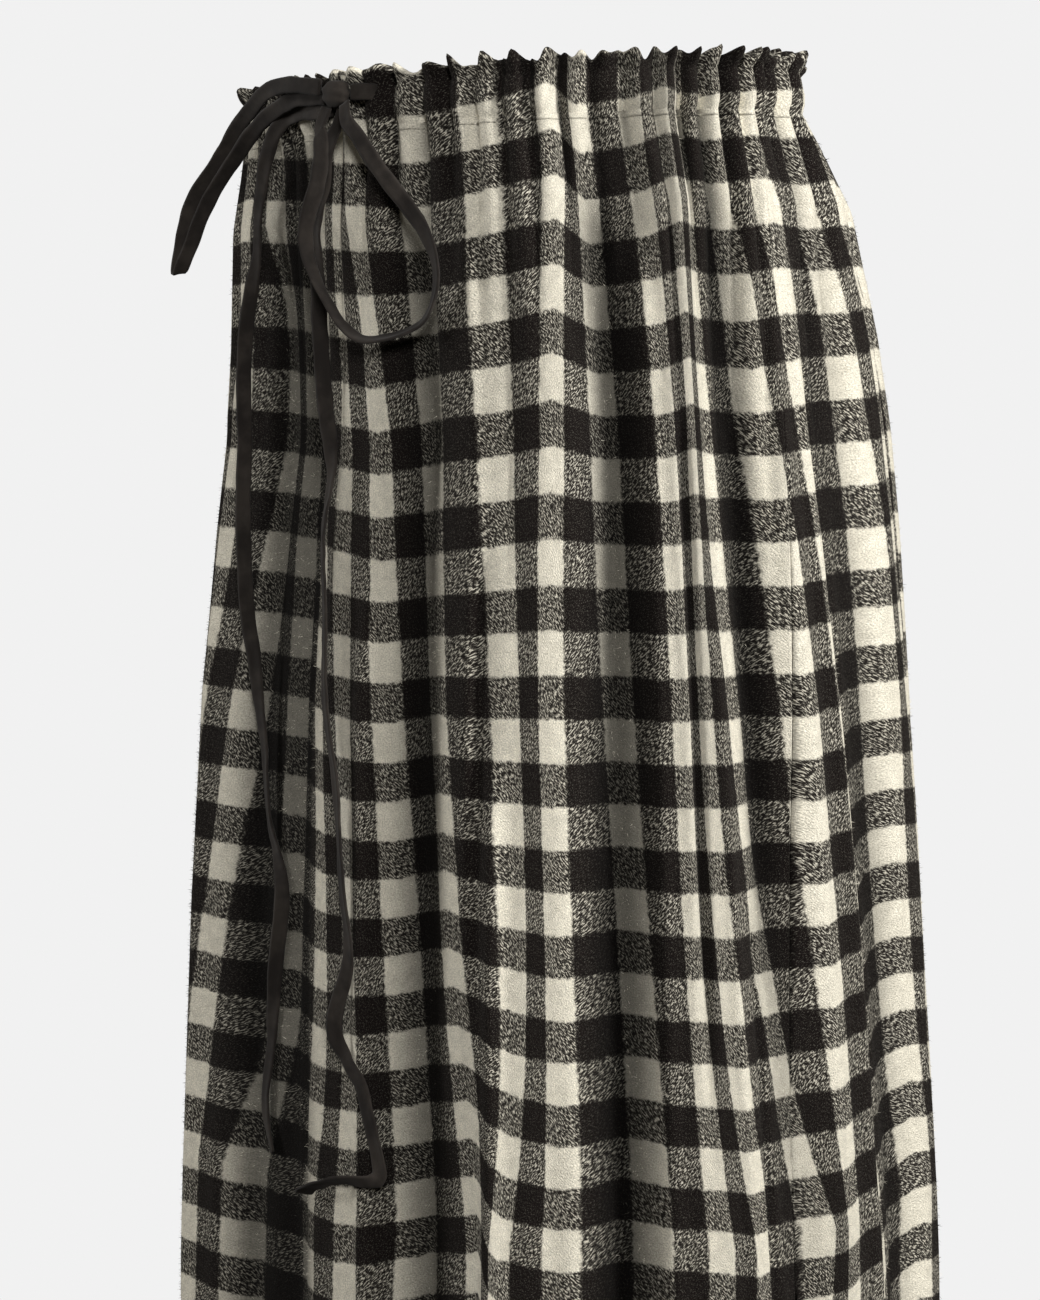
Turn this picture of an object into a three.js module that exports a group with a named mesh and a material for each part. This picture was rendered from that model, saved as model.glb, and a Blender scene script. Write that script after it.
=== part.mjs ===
// Drawstring skirt: two gathered cloth panels, a waist casing and a tied flat cord.
// Units are millimetres, +Z is up. The origin is the middle of the waist, at the height of the drawstring.
// The front faces -Y and the wearer's left is +X. Angles run from the front's middle towards +X, in degrees.
import * as THREE from 'three';

const CLOTH_WALL = 2.6;        // measured along the section's normal, so a steep gather is still over 1 mm thick
const SEAM_GAP = 0.3;
const COLUMNS_A_PANEL = 128;
const GATHERS = 64;
const WAIST_LIFT = 12;         // the waist sits this much higher at the back than at the front
const LIFT_FADES_AT = -300;
const CORD_WIDTH = 8.5;
const CORD_THICK = 1.8;
const LOWEST_STAND = 0.2;      // of the cord's middle, over a rest that already spans the highest gathers

// The body of the skirt without its folds. front and back are the depths from the waist's axis.
const SECTIONS = [
  { z: 30, side: 160, front: 118, back: 121 },
  { z: 12, side: 158, front: 116, back: 118 },
  { z: 0, side: 155, front: 113, back: 115 },
  { z: -14, side: 157, front: 114, back: 118 },
  { z: -30, side: 160, front: 113, back: 138 },
  { z: -56, side: 165, front: 113, back: 157 },
  { z: -117, side: 168, front: 110, back: 180 },
  { z: -163, side: 171, front: 110, back: 190 },
  { z: -208, side: 176, front: 116, back: 194 },
  { z: -290, side: 183, front: 125, back: 199 },
  { z: -400, side: 189, front: 132, back: 207 },
  { z: -545, side: 195, front: 138, back: 217 },
  { z: -869, side: 205, front: 149, back: 230 },
];

// The ridges and valleys of the large folds, in order round the skirt: the angle of each where the folds start
// and at the foot, and how far out it stands at both, as shares of the fold size at that height.
const FOLDS = [
  { top: -43.5, foot: -48, outTop: 1.0, outFoot: 1.0 },
  { top: -15, foot: -7, outTop: -1.3, outFoot: -1.3 },
  { top: 4, foot: 13, outTop: 0.7, outFoot: 0.9 },
  { top: 17, foot: 27, outTop: -0.5, outFoot: -0.7 },
  { top: 41, foot: 36, outTop: 1.0, outFoot: 1.0 },
  { top: 57, foot: 57.5, outTop: -0.9, outFoot: -0.8 },
  { top: 67, foot: 75, outTop: 0.9, outFoot: 0.9 },
  { top: 74, foot: 92, outTop: -0.8, outFoot: -0.5 },
  { top: 90, foot: 102, outTop: 0.9, outFoot: 0.9 },
  { top: 101, foot: 116, outTop: -0.6, outFoot: -0.6 },
  { top: 114, foot: 126, outTop: 0.9, outFoot: 0.9 },
  { top: 128, foot: 138, outTop: -0.9, outFoot: -0.9 },
  { top: 141, foot: 150, outTop: 1.0, outFoot: 1.0 },
  { top: 155, foot: 163, outTop: -0.9, outFoot: -1.1 },
  { top: 169, foot: 176, outTop: 0.8, outFoot: 1.0 },
  { top: 183, foot: 189, outTop: -1.0, outFoot: -0.9 },
  { top: 197, foot: 202, outTop: 1.0, outFoot: 1.1 },
  { top: 211, foot: 214, outTop: -0.8, outFoot: -1.0 },
  { top: 224, foot: 226, outTop: 0.9, outFoot: 0.8 },
  { top: 238, foot: 238, outTop: -1.1, outFoot: -1.0 },
  { top: 251, foot: 249, outTop: 1.0, outFoot: 1.1 },
  { top: 265, foot: 262, outTop: -0.9, outFoot: -1.0 },
  { top: 280, foot: 276, outTop: 0.9, outFoot: 1.0 },
  { top: 298, foot: 294, outTop: -1.1, outFoot: -1.0 },
];
const FOLDS_START = -14;
const FOLDS_SETTLE = 560;      // the ridges have drifted to their foot angles this far below the start

const FOLD_SIZE = [
  { z: 30, size: 3.0 },
  { z: 0, size: 2.0 },
  { z: -14, size: 3.0 },
  { z: -60, size: 8.0 },
  { z: -150, size: 12.5 },
  { z: -300, size: 14.0 },
  { z: -600, size: 13.0 },
  { z: -869, size: 12.0 },
];
const GATHER_SIZE = [
  { z: 30, size: 3.2 },
  { z: 12, size: 3.2 },
  { z: 0, size: 3.6 },
  { z: -14, size: 3.6 },
  { z: -40, size: 3.2 },
  { z: -80, size: 2.4 },
  { z: -130, size: 1.4 },
  { z: -200, size: 0.5 },
  { z: -300, size: 0.0 },
];
const PANEL_HEIGHTS = [-14 - SEAM_GAP, -42, -80, -130, -205, -330, -500, -680, -869];
// The casing: its lower stitching, the channel that the cord runs in, and the small heading above it.
const CASING_ROWS = [
  { z: -14, puff: 0 },
  { z: -3, puff: 2.2 },
  { z: 5, puff: 0.6 },
  { z: 12, puff: 1.6 },
];

const radians = (degrees) => (degrees * Math.PI) / 180;

// The value of one column of a table at a height, between its rows.
function at(table, z, column) {
  if (z >= table[0].z) return table[0][column];
  for (let k = 1; k < table.length; k += 1) {
    const upper = table[k - 1];
    const lower = table[k];
    if (z >= lower.z) {
      const share = (upper.z - z) / (upper.z - lower.z);
      return upper[column] + (lower[column] - upper[column]) * share;
    }
  }
  return table[table.length - 1][column];
}

// How far out the large folds stand here: about 1 on a ridge and -1 in a valley.
function foldShape(angle, z) {
  const settled = Math.min(1, Math.max(0, (FOLDS_START - z) / FOLDS_SETTLE));
  const settle = (top, foot) => top + (foot - top) * settled;
  const turnAt = (k) => {
    const row = FOLDS[k % FOLDS.length];
    return settle(row.top, row.foot) + 360 * Math.floor(k / FOLDS.length);
  };
  const outAt = (k) => {
    const row = FOLDS[k % FOLDS.length];
    return settle(row.outTop, row.outFoot);
  };
  let here = angle;
  while (here < turnAt(0)) here += 360;
  while (here >= turnAt(FOLDS.length)) here -= 360;
  let k = 0;
  while (here >= turnAt(k + 1)) k += 1;
  const share = (here - turnAt(k)) / (turnAt(k + 1) - turnAt(k));
  const ease = (1 - Math.cos(Math.PI * share)) / 2;
  return outAt(k) + (outAt(k + 1) - outAt(k)) * ease;
}

// The small gathers at the waist, uneven in width and size, and flatter beside the bow.
function gatherShape(angle) {
  const a = radians(angle);
  const phase = GATHERS * a + 1.5 * Math.sin(3 * a + 1) + 1.1 * Math.sin(7 * a + 2);
  const uneven = 1 + 0.22 * Math.sin(5 * a + 0.6) + 0.15 * Math.sin(11 * a);
  const fromBow = (((angle + 12 + 180) % 360 + 360) % 360 - 180) / 28;
  return Math.cos(phase) * uneven * (1 - 0.45 * Math.exp(-fromBow * fromBow));
}

// The body's own point at an angle and height, moved out along the section's normal.
function bodyPoint(angle, z, out) {
  const a = radians(angle);
  const side = at(SECTIONS, z, 'side');
  const depth = at(SECTIONS, z, Math.cos(a) > 0 ? 'front' : 'back');
  const normal = new THREE.Vector3(depth * Math.sin(a), -side * Math.cos(a), 0).normalize();
  const lift = (WAIST_LIFT * (1 - Math.cos(a))) / 2;
  const fade = Math.min(1, Math.max(0, 1 - z / LIFT_FADES_AT));
  const point = new THREE.Vector3(side * Math.sin(a), -depth * Math.cos(a), z + lift * fade);
  return point.addScaledVector(normal, out);
}

function clothPoint(angle, z, out) {
  const folds = foldShape(angle, z) * at(FOLD_SIZE, z, 'size');
  const gathers = gatherShape(angle) * at(GATHER_SIZE, z, 'size');
  return bodyPoint(angle, z, folds + gathers + out);
}

// How far out the cord lies here: across the tops of the gathers, and clear of the fold at both of its edges.
function cordRest(angle, z) {
  const beside = [-3, -1.5, 0, 1.5, 3].map((step) => foldShape(angle + step, z));
  return Math.max(...beside) * at(FOLD_SIZE, z, 'size') + 1.35 * at(GATHER_SIZE, z, 'size');
}

function cordPoint(angle, z, stand) {
  return bodyPoint(angle, z, cordRest(angle, z) + stand);
}

function meshFrom(name, points, faces, colour) {
  const geometry = new THREE.BufferGeometry();
  geometry.setAttribute('position', new THREE.Float32BufferAttribute(points.flatMap((p) => p.toArray()), 3));
  geometry.setIndex(faces);
  geometry.computeVertexNormals();
  const mesh = new THREE.Mesh(geometry, new THREE.MeshStandardMaterial({ color: colour, roughness: 0.95 }));
  mesh.name = name;
  return mesh;
}

// A thin cloth wall through rows of points. Each row goes round from left to right seen from outside,
// and the rows go upwards. A closed wall joins its last column to its first.
function clothWall(name, outer, inner, closed, colour) {
  const rows = outer.length;
  const columns = outer[0].length;
  const points = [...outer.flat(), ...inner.flat()];
  const out = (r, c) => r * columns + (c % columns);
  const inn = (r, c) => rows * columns + r * columns + (c % columns);
  const faces = [];
  const quad = (a, b, c, d) => faces.push(a, b, c, a, c, d);
  const spans = closed ? columns : columns - 1;
  for (let c = 0; c < spans; c += 1) {
    for (let r = 0; r < rows - 1; r += 1) {
      quad(out(r, c), out(r, c + 1), out(r + 1, c + 1), out(r + 1, c));
      quad(inn(r, c), inn(r + 1, c), inn(r + 1, c + 1), inn(r, c + 1));
    }
    quad(out(0, c), inn(0, c), inn(0, c + 1), out(0, c + 1));
    quad(out(rows - 1, c), out(rows - 1, c + 1), inn(rows - 1, c + 1), inn(rows - 1, c));
  }
  if (!closed) {
    for (let r = 0; r < rows - 1; r += 1) {
      quad(out(r, 0), out(r + 1, 0), inn(r + 1, 0), inn(r, 0));
      quad(out(r, spans), inn(r, spans), inn(r + 1, spans), out(r + 1, spans));
    }
  }
  return meshFrom(name, points, faces, colour);
}

// One panel, from its left edge round to its right edge as angles, short of each side seam by half the gap.
function panel(name, from, to, colour) {
  const outer = [];
  const inner = [];
  for (const z of [...PANEL_HEIGHTS].reverse()) {
    const seamDepth = (at(SECTIONS, z, 'front') + at(SECTIONS, z, 'back')) / 2;
    const short = ((SEAM_GAP / 2 / seamDepth) * 180) / Math.PI;
    const angles = [];
    for (let c = 0; c <= COLUMNS_A_PANEL; c += 1) {
      angles.push(from + short + ((to - from - 2 * short) * c) / COLUMNS_A_PANEL);
    }
    outer.push(angles.map((angle) => clothPoint(angle, z, 0)));
    inner.push(angles.map((angle) => clothPoint(angle, z, -CLOTH_WALL)));
  }
  return clothWall(name, outer, inner, false, colour);
}

function casing(name, colour) {
  const columns = 2 * COLUMNS_A_PANEL;
  const ring = (row, out) => {
    const points = [];
    for (let c = 0; c < columns; c += 1) {
      const angle = -90 + (360 * c) / columns;
      points.push(clothPoint(angle, row.z, row.puff + out));
    }
    return points;
  };
  const outer = CASING_ROWS.map((row) => ring(row, 0));
  const inner = CASING_ROWS.map((row) => ring(row, -CLOTH_WALL));
  return clothWall(name, outer, inner, true, colour);
}

// Routes of the flat cord, from the knot to each end. stand is how far the cord's middle is off the cloth,
// and turn is how far its flat side is twisted away from lying on the cloth.
const LEFT_LOOP = [
  { angle: 0.7, z: 5, stand: 6.4, turn: 0 },
  { angle: -4, z: 7, stand: 7.5, turn: 0 },
  { angle: -9, z: 8.5, stand: 8.5, turn: 0 },
  { angle: -16, z: 7.5, stand: 8.5, turn: 20 },
  { angle: -22, z: 1.5, stand: 8, turn: 40 },
  { angle: -28, z: -7, stand: 8, turn: 60 },
  { angle: -32, z: -17, stand: 9, turn: 70 },
  { angle: -34, z: -28, stand: 13.5, turn: 75 },
  { angle: -36, z: -36, stand: 17, turn: 80 },
  { angle: -37, z: -46, stand: 20, turn: 80 },
  { angle: -37, z: -56, stand: 21.5, turn: 80 },
  { angle: -37, z: -66, stand: 23, turn: 80 },
  { angle: -36.8, z: -76, stand: 25, turn: 80 },
  { angle: -36, z: -79, stand: 25.5, turn: 80 },
  { angle: -35.2, z: -75, stand: 24.5, turn: 80 },
  { angle: -34.7, z: -62, stand: 19.5, turn: 80 },
  { angle: -34.3, z: -50, stand: 16, turn: 84 },
  { angle: -33.5, z: -39, stand: 12.5, turn: 90 },
  { angle: -31, z: -29, stand: 9.5, turn: 100 },
  { angle: -28, z: -21, stand: 7.5, turn: 110 },
  { angle: -24, z: -12, stand: 6, turn: 125 },
  { angle: -19, z: -5, stand: 6, turn: 140 },
  { angle: -13, z: 0, stand: 5.5, turn: 160 },
  { angle: -8, z: 1.8, stand: 4.4, turn: 180 },
  { angle: -4, z: 1.5, stand: 3.8, turn: 180 },
  { angle: 0.5, z: 1, stand: 3.4, turn: 180 },
];
const RIGHT_LOOP = [
  { angle: 6, z: -3.6, stand: 5.6, turn: 0 },
  { angle: 7.6, z: -12, stand: 7.5, turn: 5 },
  { angle: 10.5, z: -20, stand: 9, turn: 10 },
  { angle: 13, z: -30, stand: 10, turn: 15 },
  { angle: 16.5, z: -45, stand: 9.5, turn: 15 },
  { angle: 19.5, z: -57, stand: 9, turn: 5 },
  { angle: 22.5, z: -69, stand: 8.5, turn: -15 },
  { angle: 24, z: -82, stand: 8, turn: -35 },
  { angle: 23.5, z: -93, stand: 8, turn: -40 },
  { angle: 21.5, z: -103, stand: 8, turn: -45 },
  { angle: 18, z: -110, stand: 8, turn: -55 },
  { angle: 14, z: -114, stand: 8, turn: -60 },
  { angle: 10.5, z: -114, stand: 8, turn: -70 },
  { angle: 7, z: -107, stand: 8, turn: -85 },
  { angle: 4, z: -96, stand: 8, turn: -95 },
  { angle: 1, z: -83, stand: 8, turn: -90 },
  { angle: -1, z: -68, stand: 8, turn: -75 },
  { angle: 0, z: -54, stand: 8, turn: -60 },
  { angle: 1.5, z: -42, stand: 7.5, turn: -50 },
  { angle: 2, z: -30, stand: 7.5, turn: -35 },
  { angle: 1.5, z: -18, stand: 7, turn: -15 },
  { angle: 0.9, z: -14, stand: 7, turn: 0 },
  { angle: 1.6, z: -4.6, stand: 5.4, turn: 0 },
];
const LEFT_TAIL = [
  { angle: 1.2, z: -4.6, stand: 1, turn: 0 },
  { angle: -4, z: -5, stand: 0.6, turn: 0 },
  { angle: -9, z: -4, stand: 0.4, turn: 0 },
  { angle: -14, z: -5, stand: 0.8, turn: 15 },
  { angle: -18, z: -11, stand: 2, turn: 35 },
  { angle: -22, z: -26, stand: 3, turn: 40 },
  { angle: -25, z: -45, stand: 3, turn: 20 },
  { angle: -26, z: -60, stand: 3, turn: 12 },
  { angle: -26.5, z: -74, stand: 3, turn: 20 },
  { angle: -27.5, z: -88, stand: 3, turn: 50 },
  { angle: -29, z: -105, stand: 3, turn: 60 },
  { angle: -30, z: -132, stand: 3, turn: 60 },
  { angle: -29, z: -182, stand: 3, turn: 60 },
  { angle: -27, z: -222, stand: 3, turn: 60 },
  { angle: -25, z: -253, stand: 3, turn: 55 },
  { angle: -23, z: -274, stand: 3, turn: 40 },
  { angle: -20.5, z: -318, stand: 3, turn: 0 },
  { angle: -18, z: -356, stand: 3, turn: -10 },
  { angle: -13.5, z: -387, stand: 4, turn: 45 },
  { angle: -14.5, z: -422, stand: 3, turn: 50 },
  { angle: -15.5, z: -462, stand: 3, turn: 10 },
  { angle: -16.5, z: -494, stand: 3, turn: 0 },
  { angle: -14, z: -517, stand: 3, turn: -20 },
];
const RIGHT_TAIL = [
  { angle: 4.2, z: -6.4, stand: 2, turn: 0 },
  { angle: 3, z: -14, stand: 1.6, turn: 0 },
  { angle: 1, z: -26, stand: 2.5, turn: 20 },
  { angle: 0.5, z: -40, stand: 2.5, turn: 10 },
  { angle: -1.5, z: -55, stand: 2.5, turn: 0 },
  { angle: -2.5, z: -70, stand: 2.5, turn: 0 },
  { angle: -1.5, z: -88, stand: 2.5, turn: 30 },
  { angle: -1, z: -110, stand: 3, turn: 45 },
  { angle: 0, z: -133, stand: 3, turn: 45 },
  { angle: 1.5, z: -160, stand: 3, turn: 30 },
  { angle: 2.5, z: -184, stand: 3, turn: -20 },
  { angle: 2, z: -206, stand: 3, turn: -30 },
  { angle: 4, z: -242, stand: 3, turn: -30 },
  { angle: 5.5, z: -284, stand: 3, turn: -25 },
  { angle: 8.5, z: -324, stand: 3, turn: -25 },
  { angle: 10.5, z: -370, stand: 3, turn: -30 },
  { angle: 12, z: -402, stand: 3, turn: -10 },
  { angle: 10, z: -436, stand: 3, turn: 35 },
  { angle: 12, z: -452, stand: 3, turn: 0 },
  { angle: 14.5, z: -463, stand: 3, turn: 0 },
  { angle: 16, z: -479, stand: 3, turn: 0 },
  { angle: 17.5, z: -497, stand: 3, turn: 0 },
  { angle: 17.5, z: -507, stand: 3.5, turn: 20 },
  { angle: 12.5, z: -509, stand: 4, turn: 50 },
  { angle: 8, z: -514, stand: 4, turn: 60 },
  { angle: 3, z: -522, stand: 3.5, turn: 60 },
];

// The flat cord along a route, with a rounded eight-sided section that follows the cloth's direction.
function flatCord(name, route, steps, colour) {
  const knots = route.map((row) => new THREE.Vector4(row.angle, row.z, row.stand, row.turn));
  const smooth = (t) => {
    const place = t * (knots.length - 1);
    const k = Math.min(Math.floor(place), knots.length - 2);
    const s = place - k;
    const before = knots[Math.max(k - 1, 0)];
    const after = knots[Math.min(k + 2, knots.length - 1)];
    const blend = (axis) => {
      const a = before[axis];
      const b = knots[k][axis];
      const c = knots[k + 1][axis];
      const d = after[axis];
      const straight = 2 * b + (c - a) * s;
      const bend = (2 * a - 5 * b + 4 * c - d) * s * s + (3 * b - a - 3 * c + d) * s * s * s;
      return (straight + bend) / 2;
    };
    return { angle: blend('x'), z: blend('y'), stand: blend('z'), turn: blend('w') };
  };
  const rows = [];
  for (let k = 0; k <= steps; k += 1) {
    const row = smooth(k / steps);
    const edgeRoom = (Math.abs(Math.sin(radians(row.turn))) * (CORD_WIDTH - CORD_THICK)) / 2;
    const stand = Math.max(row.stand, LOWEST_STAND) + edgeRoom;
    rows.push({ ...row, point: cordPoint(row.angle, row.z, stand) });
  }
  const points = [];
  const faces = [];
  const sides = 8;
  rows.forEach((row, k) => {
    const along = rows[Math.min(k + 1, steps)].point.clone().sub(rows[Math.max(k - 1, 0)].point).normalize();
    const outward = bodyPoint(row.angle, row.z, 1).sub(bodyPoint(row.angle, row.z, 0));
    const across = new THREE.Vector3().crossVectors(along, outward).normalize();
    const up = new THREE.Vector3().crossVectors(across, along).normalize();
    across.applyAxisAngle(along, radians(row.turn));
    up.applyAxisAngle(along, radians(row.turn));
    for (let side = 0; side < sides; side += 1) {
      const turn = (2 * Math.PI * (side + 0.5)) / sides;
      const wide = Math.sign(Math.cos(turn)) * Math.abs(Math.cos(turn)) ** 0.6;
      const point = row.point.clone();
      point.addScaledVector(across, (wide * CORD_WIDTH) / 2);
      point.addScaledVector(up, (Math.sin(turn) * CORD_THICK) / 2);
      points.push(point);
    }
  });
  const index = (k, side) => k * sides + (side % sides);
  for (let k = 0; k < steps; k += 1) {
    for (let side = 0; side < sides; side += 1) {
      const [a, b] = [index(k, side), index(k, side + 1)];
      const [c, d] = [index(k + 1, side + 1), index(k + 1, side)];
      faces.push(a, c, b, a, d, c);
    }
  }
  for (let side = 1; side < sides - 1; side += 1) {
    faces.push(index(0, 0), index(0, side), index(0, side + 1));
    faces.push(index(steps, 0), index(steps, side + 1), index(steps, side));
  }
  return meshFrom(name, points, faces, colour);
}

// The knot: a lump of cord, wider than it is tall.
function knot(name, colour) {
  const middle = { angle: 3.6, z: 1.5, stand: 4.7 };
  const half = { wide: 8, tall: 6.6, deep: 4.6 };
  const geometry = new THREE.IcosahedronGeometry(1, 2);
  const place = geometry.attributes.position;
  const centre = cordPoint(middle.angle, middle.z, middle.stand);
  const facing = radians(middle.angle);
  const unique = new Map();
  const points = [];
  const faces = [];
  for (let k = 0; k < place.count; k += 1) {
    const direction = new THREE.Vector3().fromBufferAttribute(place, k);
    const key = direction.toArray().map((value) => Math.round(value * 1e4)).join(' ');
    if (!unique.has(key)) {
      const boxy = (value) => Math.sign(value) * Math.abs(value) ** 0.85;
      const [wide, deep, tall] = [boxy(direction.x), boxy(direction.y), boxy(direction.z)];
      const local = new THREE.Vector3(wide * half.wide, deep * half.deep, tall * half.tall);
      local.applyAxisAngle(new THREE.Vector3(0, 0, 1), facing);
      unique.set(key, points.length);
      points.push(local.add(centre));
    }
    faces.push(unique.get(key));
  }
  return meshFrom(name, points, faces, colour);
}

const wool = 0x8a8378;
const darkCord = 0x302c2a;
const skirt = new THREE.Group();
skirt.name = 'drawstring_skirt';
skirt.add(panel('front_panel', -90, 90, wool));
skirt.add(panel('back_panel', 90, 270, wool));
skirt.add(casing('waist_casing', wool));
skirt.add(knot('drawstring_knot', darkCord));
skirt.add(flatCord('drawstring_loop_left', LEFT_LOOP, 56, darkCord));
skirt.add(flatCord('drawstring_loop_right', RIGHT_LOOP, 56, darkCord));
skirt.add(flatCord('drawstring_tail_left', LEFT_TAIL, 60, darkCord));
skirt.add(flatCord('drawstring_tail_right', RIGHT_TAIL, 66, darkCord));

export default skirt;
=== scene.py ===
import math

import bpy
import numpy as np
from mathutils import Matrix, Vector


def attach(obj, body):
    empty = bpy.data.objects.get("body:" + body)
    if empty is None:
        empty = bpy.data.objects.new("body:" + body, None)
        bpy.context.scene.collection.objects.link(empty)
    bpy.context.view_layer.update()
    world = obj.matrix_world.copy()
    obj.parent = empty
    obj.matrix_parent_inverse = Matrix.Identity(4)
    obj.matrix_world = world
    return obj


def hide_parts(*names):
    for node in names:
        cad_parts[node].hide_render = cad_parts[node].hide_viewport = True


# A gathered drawstring skirt of checked brushed wool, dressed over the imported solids.
# Everything is in metres and in the model's own frame: +Z up, the front towards -Y, the skirt's left at +X.
# Angles run round the skirt from the front's middle towards +X, in degrees.

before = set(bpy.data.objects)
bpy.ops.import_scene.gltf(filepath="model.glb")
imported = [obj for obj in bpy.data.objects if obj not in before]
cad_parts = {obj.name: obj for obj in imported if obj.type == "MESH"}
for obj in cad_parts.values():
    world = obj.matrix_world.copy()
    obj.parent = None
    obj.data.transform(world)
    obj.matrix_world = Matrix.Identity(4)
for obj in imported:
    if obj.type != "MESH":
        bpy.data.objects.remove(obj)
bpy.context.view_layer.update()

# The camera stands at the height of the hips, off the front's middle towards +X.
CAMERA_AZIMUTH = 48.0
CAMERA_DISTANCE = 1.5
CAMERA_HEIGHT = -0.151
CAMERA_PITCH = 4.5
CAMERA_ASIDE = 0.0015
LENS_MM = 81.7
SENSOR_MM = 36.0

azimuth = math.radians(CAMERA_AZIMUTH)
toward_camera = Vector((math.sin(azimuth), -math.cos(azimuth), 0.0))
across_picture = Vector((math.cos(azimuth), math.sin(azimuth), 0.0))
upward = Vector((0.0, 0.0, 1.0))

camera_data = bpy.data.cameras.new("camera")
camera_data.lens = LENS_MM
camera_data.sensor_width = SENSOR_MM
camera = bpy.data.objects.new("camera", camera_data)
bpy.context.scene.collection.objects.link(camera)
camera_place = toward_camera * CAMERA_DISTANCE + across_picture * CAMERA_ASIDE
camera.location = camera_place + upward * CAMERA_HEIGHT
camera.rotation_euler = (math.radians(90.0 - CAMERA_PITCH), 0.0, azimuth)
bpy.context.scene.camera = camera

# The body of the skirt without its folds, as in the solids: at each height its half width, and its depths in
# front of the axis and behind it.
# height, side, front, back
SECTIONS = np.array([
    (0.030, 0.160, 0.118, 0.121),
    (0.012, 0.158, 0.116, 0.118),
    (0.000, 0.155, 0.113, 0.115),
    (-0.014, 0.157, 0.114, 0.118),
    (-0.030, 0.160, 0.113, 0.138),
    (-0.056, 0.165, 0.113, 0.157),
    (-0.117, 0.168, 0.110, 0.180),
    (-0.163, 0.171, 0.110, 0.190),
    (-0.208, 0.176, 0.116, 0.194),
    (-0.290, 0.183, 0.125, 0.199),
    (-0.400, 0.189, 0.132, 0.207),
    (-0.545, 0.195, 0.138, 0.217),
    (-0.869, 0.205, 0.149, 0.230),
])
SIDE, FRONT, BACK = 1, 2, 3

# The ridges and valleys of the large folds, in order round the skirt: the angle of each where the folds start
# and at the foot, and how far out it stands at both, as shares of the fold size at that height.
# angle at the top, angle at the foot, out at the top, out at the foot
FOLDS = np.array([
    (-43.5, -48, 1.0, 1.0),
    (-15, -7, -1.3, -1.3),
    (4, 13, 0.7, 0.9),
    (17, 27, -0.5, -0.7),
    (41, 36, 1.0, 1.0),
    (57, 57.5, -0.9, -0.8),
    (67, 75, 0.9, 0.9),
    (74, 92, -0.8, -0.5),
    (90, 102, 0.9, 0.9),
    (101, 116, -0.6, -0.6),
    (114, 126, 0.9, 0.9),
    (128, 138, -0.9, -0.9),
    (141, 150, 1.0, 1.0),
    (155, 163, -0.9, -1.1),
    (169, 176, 0.8, 1.0),
    (183, 189, -1.0, -0.9),
    (197, 202, 1.0, 1.1),
    (211, 214, -0.8, -1.0),
    (224, 226, 0.9, 0.8),
    (238, 238, -1.1, -1.0),
    (251, 249, 1.0, 1.1),
    (265, 262, -0.9, -1.0),
    (280, 276, 0.9, 1.0),
    (298, 294, -1.1, -1.0),
])
# From the start down, the folds drift from their places at the top to those at the foot, over this length.
FOLDS_START = -0.014
FOLDS_SETTLE = 0.560
# How far the large folds stand out and in.
# height, size
FOLD_SIZE = np.array([
    (0.030, 0.0030),
    (0.000, 0.0020),
    (-0.014, 0.0030),
    (-0.060, 0.0080),
    (-0.150, 0.0125),
    (-0.300, 0.0140),
    (-0.600, 0.0130),
    (-0.869, 0.0120),
])
# The same for the gathers as they are in the solids, which the cord lies on.
# height, size
GATHER_SIZE = np.array([
    (0.030, 0.0032),
    (0.012, 0.0032),
    (0.000, 0.0036),
    (-0.014, 0.0036),
    (-0.040, 0.0032),
    (-0.080, 0.0024),
    (-0.130, 0.0014),
    (-0.200, 0.0005),
    (-0.300, 0.0000),
])
SIZE = 1
# The waist stands higher at the back than at the front, and the lift fades away down the skirt.
WAIST_LIFT = 0.012
LIFT_FADES_AT = -0.300
HEM = -0.869

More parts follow.
